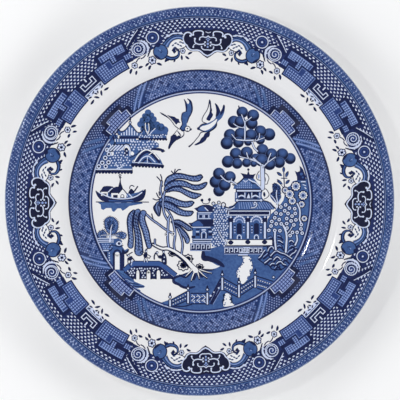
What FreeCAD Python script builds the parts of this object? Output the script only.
"""Transfer-printed china dinner plate: a biscuit body with a foot ring, a clear glaze and the
underglaze prints that lie between the two. Millimetres, +Z up, the origin at the middle of the
face that the plate stands on. Every part is turned about Z, so each one is half a section,
revolved, and the prints are rings cut out of the thin layer between body and glaze."""

import FreeCAD, Part
import math
import os

import Sketcher
from FreeCAD import Vector

DIMENSIONS = {
    # outline of the finished, glazed plate
    "plate_diameter": 260,
    "plate_height": 24,
    "dish_thickness": 4.6,
    "floor_height": 7.4,  # top of the flat middle
    "floor_radius": 74,  # where the flat middle starts to bend up
    "bend_radius": 16,  # hollow bend from the middle to the wall of the well
    "shoulder_reach": 96.9,  # centre of the round shoulder from the axis
    "shoulder_centre_height": 5.75,
    "shoulder_radius": 12,
    "edge_radius": 1.9,
    # foot ring
    "foot_radius": 73,
    "foot_face_width": 2.8,
    "foot_root_width": 6.4,
    "foot_root_fillet": 1.2,
    "foot_edge_fillet": 0.5,
    "foot_overlap": 1.5,  # how far the ring is carried up into the dish
    "bare_foot_height": 1.2,  # the glaze is wiped off below this
    # coats
    "glaze_thickness": 0.3,
    "print_thickness": 0.1,
    # outer radii of the printed zones, from the middle outwards
    "scene_radius": 72.8,
    "scene_frame_radius": 76,
    "well_border_radius": 88.6,
    "rim_border_inner_radius": 94,
    "rim_border_radius": 122.8,
}

BODY_INSET = "Dims.glaze_thickness"
PRINT_INSET = "(Dims.glaze_thickness - Dims.print_thickness)"
NO_INSET = "0"
MIDDLE_OF_WALL = "Dims.dish_thickness / 2"


def make_sheet(doc):
    """Spreadsheet with one aliased cell for each driving dimension."""
    sheet = doc.addObject("Spreadsheet::Sheet", "Dims")
    for row, (alias, value) in enumerate(DIMENSIONS.items(), start=1):
        sheet.set(f"A{row}", alias)
        sheet.set(f"B{row}", str(value))
        sheet.setAlias(f"B{row}", alias)
    doc.recompute()
    return sheet


def new_sketch(body, name):
    """Sketch in the body's own XZ plane, so that its vertical axis is the plate's axis."""
    sketch = body.newObject("Sketcher::SketchObject", name)
    plane = next(f for f in body.Origin.OriginFeatures if f.Role == "XZ_Plane")
    sketch.AttachmentSupport = [(plane, "")]
    sketch.MapMode = "FlatFace"
    return sketch


def bind(sketch, kind, args, name, expression):
    """Adds a driving constraint and ties it to an expression on the sheet."""
    value = sketch.evalExpression(expression)
    index = sketch.addConstraint(Sketcher.Constraint(kind, *args, float(value)))
    sketch.renameConstraint(index, name)
    sketch.setExpression(f"Constraints.{name}", expression)


def tangent_normal(start, start_side, end, end_side, up):
    """Unit normal of the line that touches two circles. A side is the signed distance from a
    circle's centre to the line along that normal; up picks the upper or lower line."""
    reach = end - start
    turn = math.acos((start_side - end_side) / reach.Length)
    angle = math.atan2(reach.y, reach.x) + (turn if up else -turn)
    return Vector(math.cos(angle), math.sin(angle))


def arc(centre, radius, start_angle, end_angle):
    """Arc drawn anticlockwise between two angles in radians."""
    circle = Part.Circle(centre, Vector(0, 0, 1), radius)
    return Part.ArcOfCircle(circle, start_angle, end_angle)


def slope_of(normal):
    """Angle above level of a line whose upward normal is given."""
    return math.atan2(-normal.x, normal.y)


def draw_dish(sketch, sheet, inset, under_inset):
    """Half section of the dish, its top and its edge drawn inset from the finished surface, and
    its underside by an inset of its own. The top runs level, bends up, crosses the shoulder and
    rises to the round edge, and the underside returns on arcs with the same centres."""
    depth = float(sketch.evalExpression(inset))
    under_depth = float(sketch.evalExpression(under_inset))
    thickness = sheet.dish_thickness
    bend = Vector(sheet.floor_radius, sheet.floor_height + sheet.bend_radius)
    shoulder = Vector(sheet.shoulder_reach, sheet.shoulder_centre_height)
    edge = Vector(sheet.plate_diameter / 2 - sheet.edge_radius, sheet.plate_height - sheet.edge_radius)

    bend_top = sheet.bend_radius + depth
    bend_under = sheet.bend_radius + thickness - under_depth
    shoulder_top = sheet.shoulder_radius - depth
    shoulder_under = sheet.shoulder_radius - thickness + under_depth
    edge_round = sheet.edge_radius - depth

    wall_top = slope_of(tangent_normal(bend, -bend_top, shoulder, shoulder_top, True))
    rim_top = slope_of(tangent_normal(shoulder, shoulder_top, edge, edge_round, True))
    rim_under = slope_of(tangent_normal(shoulder, shoulder_under, edge, -edge_round, True))
    wall_under = slope_of(tangent_normal(bend, -bend_under, shoulder, shoulder_under, True))

    up, down = math.pi / 2, -math.pi / 2
    arcs = {
        "bend_top": arc(bend, bend_top, down, down + wall_top),
        "shoulder_top": arc(shoulder, shoulder_top, up + rim_top, up + wall_top),
        "edge": arc(edge, edge_round, down + rim_under, up + rim_top),
        "shoulder_under": arc(shoulder, shoulder_under, up + rim_under, up + wall_under),
        "bend_under": arc(bend, bend_under, down, down + wall_under),
    }
    ids = {name: sketch.addGeometry(shape, False) for name, shape in arcs.items()}
    first = {name: shape.StartPoint for name, shape in arcs.items()}
    last = {name: shape.EndPoint for name, shape in arcs.items()}

    def line(start, end):
        return sketch.addGeometry(Part.LineSegment(start, end), False)

    top_middle = Vector(0, first["bend_top"].y)
    under_middle = Vector(0, first["bend_under"].y)
    axis_line = line(under_middle, top_middle)
    floor_line = line(top_middle, first["bend_top"])
    wall_line = line(last["bend_top"], last["shoulder_top"])
    rim_line = line(first["shoulder_top"], last["edge"])
    rim_under_line = line(first["edge"], first["shoulder_under"])
    wall_under_line = line(last["shoulder_under"], last["bend_under"])
    under_line = line(first["bend_under"], under_middle)

    start_point, end_point, centre_point = 1, 2, 3
    origin, vertical_axis = -1, -2
    joins = [
        (floor_line, end_point, ids["bend_top"], start_point),
        (ids["bend_top"], end_point, wall_line, start_point),
        (wall_line, end_point, ids["shoulder_top"], end_point),
        (ids["shoulder_top"], start_point, rim_line, start_point),
        (rim_line, end_point, ids["edge"], end_point),
        (ids["edge"], start_point, rim_under_line, start_point),
        (rim_under_line, end_point, ids["shoulder_under"], start_point),
        (ids["shoulder_under"], end_point, wall_under_line, start_point),
        (wall_under_line, end_point, ids["bend_under"], end_point),
        (ids["bend_under"], start_point, under_line, start_point),
    ]
    for join in joins:
        sketch.addConstraint(Sketcher.Constraint("Tangent", *join))
    corners = [
        (under_line, end_point, axis_line, start_point),
        (axis_line, end_point, floor_line, start_point),
    ]
    for corner in corners:
        sketch.addConstraint(Sketcher.Constraint("Coincident", *corner))
    sketch.addConstraint(Sketcher.Constraint("PointOnObject", axis_line, start_point, vertical_axis))
    sketch.addConstraint(Sketcher.Constraint("PointOnObject", axis_line, end_point, vertical_axis))
    sketch.addConstraint(Sketcher.Constraint("Horizontal", floor_line))
    sketch.addConstraint(Sketcher.Constraint("Horizontal", under_line))

    bend_height = "Dims.floor_height + Dims.bend_radius"
    edge_reach = "Dims.plate_diameter / 2 - Dims.edge_radius"
    edge_height = "Dims.plate_height - Dims.edge_radius"
    centres = {
        "bend_top": ("Dims.floor_radius", bend_height),
        "shoulder_top": ("Dims.shoulder_reach", "Dims.shoulder_centre_height"),
        "edge": (edge_reach, edge_height),
        "shoulder_under": ("Dims.shoulder_reach", "Dims.shoulder_centre_height"),
        "bend_under": ("Dims.floor_radius", bend_height),
    }
    radii = {
        "bend_top": f"Dims.bend_radius + {inset}",
        "shoulder_top": f"Dims.shoulder_radius - {inset}",
        "edge": f"Dims.edge_radius - {inset}",
        "shoulder_under": f"Dims.shoulder_radius - Dims.dish_thickness + {under_inset}",
        "bend_under": f"Dims.bend_radius + Dims.dish_thickness - {under_inset}",
    }
    for name, (reach, height) in centres.items():
        at = (origin, start_point, ids[name], centre_point)
        bind(sketch, "DistanceX", at, name + "_reach", reach)
        bind(sketch, "DistanceY", at, name + "_height", height)
        bind(sketch, "Radius", (ids[name],), name + "_radius", radii[name])


def draw_foot(sketch, inset):
    """Half section of the foot ring: a tapered block from the standing face up into the dish,
    its two sides drawn inset."""
    face = f"(Dims.foot_face_width / 2 - {inset})"
    root = f"(Dims.foot_root_width / 2 - {inset})"
    top = "Dims.floor_height - Dims.dish_thickness + Dims.foot_overlap"
    corners = {
        "face_inner": (f"Dims.foot_radius - {face}", "0"),
        "face_outer": (f"Dims.foot_radius + {face}", "0"),
        "root_outer": (f"Dims.foot_radius + {root}", top),
        "root_inner": (f"Dims.foot_radius - {root}", top),
    }
    places = [
        Vector(float(sketch.evalExpression(x)), float(sketch.evalExpression(y)))
        for x, y in corners.values()
    ]
    sides = [
        sketch.addGeometry(Part.LineSegment(start, end), False)
        for start, end in zip(places, places[1:] + places[:1])
    ]
    start_point, end_point, origin, horizontal_axis = 1, 2, -1, -1
    for side, following in zip(sides, sides[1:] + sides[:1]):
        join = Sketcher.Constraint("Coincident", side, end_point, following, start_point)
        sketch.addConstraint(join)
    for side, (name, (reach, height)) in zip(sides, corners.items()):
        at = (origin, start_point, side, start_point)
        bind(sketch, "DistanceX", at, name + "_reach", reach)
        if name.startswith("face"):
            on_axis = Sketcher.Constraint("PointOnObject", side, start_point, horizontal_axis)
            sketch.addConstraint(on_axis)
        else:
            bind(sketch, "DistanceY", at, name + "_height", height)


def revolve(body, sketch, name):
    """Full turn of a sketch about its vertical axis, joined to what the body already has."""
    feature = body.newObject("PartDesign::Revolution", name)
    feature.Profile = sketch
    feature.ReferenceAxis = (sketch, ["V_Axis"])
    feature.Angle = 360
    return feature


def ring_edges(shape, low, high, inner, outer):
    """Names of the round edges about Z that lie between two heights and two radii."""
    found = []
    for number, edge in enumerate(shape.Edges, start=1):
        if isinstance(edge.Curve, Part.Circle):
            height, radius = edge.Curve.Center.z, edge.Curve.Radius
            if low <= height <= high and inner <= radius <= outer:
                found.append(f"Edge{number}")
    return found


def fillet(body, base, name, edges, expression):
    """Rounds the named edges of the feature base, by a radius tied to the sheet."""
    feature = body.newObject("PartDesign::Fillet", name)
    feature.Base = (base, edges)
    feature.setExpression("Radius", expression)
    return feature


def make_dish(doc, sheet, name, inset, under_inset):
    """Dish alone, inset from the finished surface."""
    body = doc.addObject("PartDesign::Body", name)
    body.Label = name
    dish_sketch = new_sketch(body, name + "_dish_section")
    draw_dish(dish_sketch, sheet, inset, under_inset)
    revolve(body, dish_sketch, name + "_dish")
    doc.recompute()
    return body


def make_footed_dish(doc, sheet, name, inset):
    """Dish with its foot ring, inset from the finished surface all round but for the face that
    it stands on."""
    body = make_dish(doc, sheet, name, inset, inset)
    foot_sketch = new_sketch(body, name + "_foot_section")
    draw_foot(foot_sketch, inset)
    foot = revolve(body, foot_sketch, name + "_foot")
    doc.recompute()
    underside = sheet.floor_height - sheet.dish_thickness
    inner = sheet.foot_radius - sheet.foot_root_width
    outer = sheet.foot_radius + sheet.foot_root_width
    roots = ring_edges(foot.Shape, underside / 2, sheet.floor_height - 1, inner, outer)
    rounded = fillet(body, foot, name + "_foot_roots", roots, f"Dims.foot_root_fillet + {inset}")
    doc.recompute()
    edges = ring_edges(rounded.Shape, -0.01, 0.01, inner, outer)
    fillet(body, rounded, name + "_foot_edges", edges, "Dims.foot_edge_fillet")
    doc.recompute()
    return body


def cylinder(doc, name, radius, bottom, height):
    """Upright cylinder about the plate's axis. Its sizes are expressions on the sheet."""
    made = doc.addObject("Part::Cylinder", name)
    made.setExpression("Radius", radius)
    made.setExpression("Height", height)
    made.setExpression("Placement.Base.z", bottom)
    return made


def boolean(doc, kind, name, base, tool):
    """Part::Cut, Part::Fuse or Part::Common of two objects."""
    made = doc.addObject("Part::" + kind, name)
    made.Base, made.Tool = base, tool
    made.Label = name
    return made


def make_zone(doc, name, inner, outer):
    """Tube between two radii, tall enough to pass through the plate's whole upper side."""
    bottom, height = "Dims.floor_height / 2 + Dims.glaze_thickness", "Dims.plate_height"
    full = cylinder(doc, name + "_zone", outer, bottom, height)
    if inner is None:
        return full
    middle = cylinder(doc, name + "_zone_middle", inner, bottom, height)
    return boolean(doc, "Cut", name + "_zone_ring", full, middle)


def make_prints(doc, layer):
    """The printed rings and the printed middle, each cut out of the layer over the biscuit."""
    zones = {
        "centre_scene_print": (None, "Dims.scene_radius"),
        "scene_frame_print": ("Dims.scene_radius", "Dims.scene_frame_radius"),
        "well_border_print": ("Dims.scene_frame_radius", "Dims.well_border_radius"),
        "rim_border_print": ("Dims.rim_border_inner_radius", "Dims.rim_border_radius"),
    }
    prints = []
    for name, (inner, outer) in zones.items():
        zone = make_zone(doc, name, inner, outer)
        prints.append(boolean(doc, "Common", name, layer, zone))
    edge_height = "Dims.plate_height - Dims.edge_radius"
    outside = cylinder(doc, "edge_zone", "Dims.plate_diameter", edge_height, "Dims.plate_height")
    inside = cylinder(
        doc, "edge_zone_middle", "Dims.rim_border_radius", edge_height + " - 1", "Dims.plate_height"
    )
    zone = boolean(doc, "Cut", "edge_zone_ring", outside, inside)
    prints.append(boolean(doc, "Common", "edge_band_print", layer, zone))
    return prints


def make_glaze(doc, envelope, biscuit, prints):
    """What the finished outline holds beyond biscuit and prints, with the foot wiped bare. The
    foot ring parts it into the coat of the plate and the coat of the base inside the ring."""
    coats = boolean(doc, "Cut", "envelope_less_biscuit", envelope, biscuit)
    for number, printed in enumerate(prints, start=1):
        coats = boolean(doc, "Cut", f"coats_less_print_{number}", coats, printed)
    wiped = cylinder(doc, "wiped_foot", "Dims.foot_radius * 1.5", "-1", "1 + Dims.bare_foot_height")
    coats = boolean(doc, "Cut", "wiped_coats", coats, wiped)
    under_floor = "Dims.floor_height - Dims.dish_thickness / 2"
    base_zone = cylinder(doc, "base_zone", "Dims.foot_radius", "0", under_floor)
    return [
        boolean(doc, "Cut", "glaze_coat", coats, base_zone),
        boolean(doc, "Common", "base_glaze", coats, base_zone),
    ]


def check(doc, parts):
    """Stops if a feature failed or a part isn't one valid solid."""
    for item in doc.Objects:
        if "Invalid" in item.State or "Error" in item.State:
            raise RuntimeError(f"{item.Name} failed: {item.State}")
    for part in parts:
        shape = part.Shape
        if shape.isNull() or not shape.isValid() or len(shape.Solids) != 1:
            raise RuntimeError(f"{part.Label} isn't one valid solid: {len(shape.Solids)} solids")


def main():
    doc = FreeCAD.newDocument("dinner_plate")
    sheet = make_sheet(doc)
    biscuit = make_footed_dish(doc, sheet, "biscuit_body", BODY_INSET)
    envelope = make_footed_dish(doc, sheet, "glazed_outline", NO_INSET)
    print_top = make_dish(doc, sheet, "print_outline", PRINT_INSET, MIDDLE_OF_WALL)
    layer = boolean(doc, "Cut", "print_layer", print_top, biscuit)
    prints = make_prints(doc, layer)
    parts = [biscuit, *make_glaze(doc, envelope, biscuit, prints), *prints]
    doc.recompute()
    check(doc, parts)

    os.makedirs("parts", exist_ok=True)
    for part in parts:
        part.Shape.exportStep(f"parts/{part.Label}.step")
        box = part.Shape.BoundBox
        size = f"{box.XLength:.2f} x {box.YLength:.2f} x {box.ZLength:.2f} mm"
        print(f"{part.Label}: {size}, {part.Shape.Volume / 1000:.3f} cm3")


main()
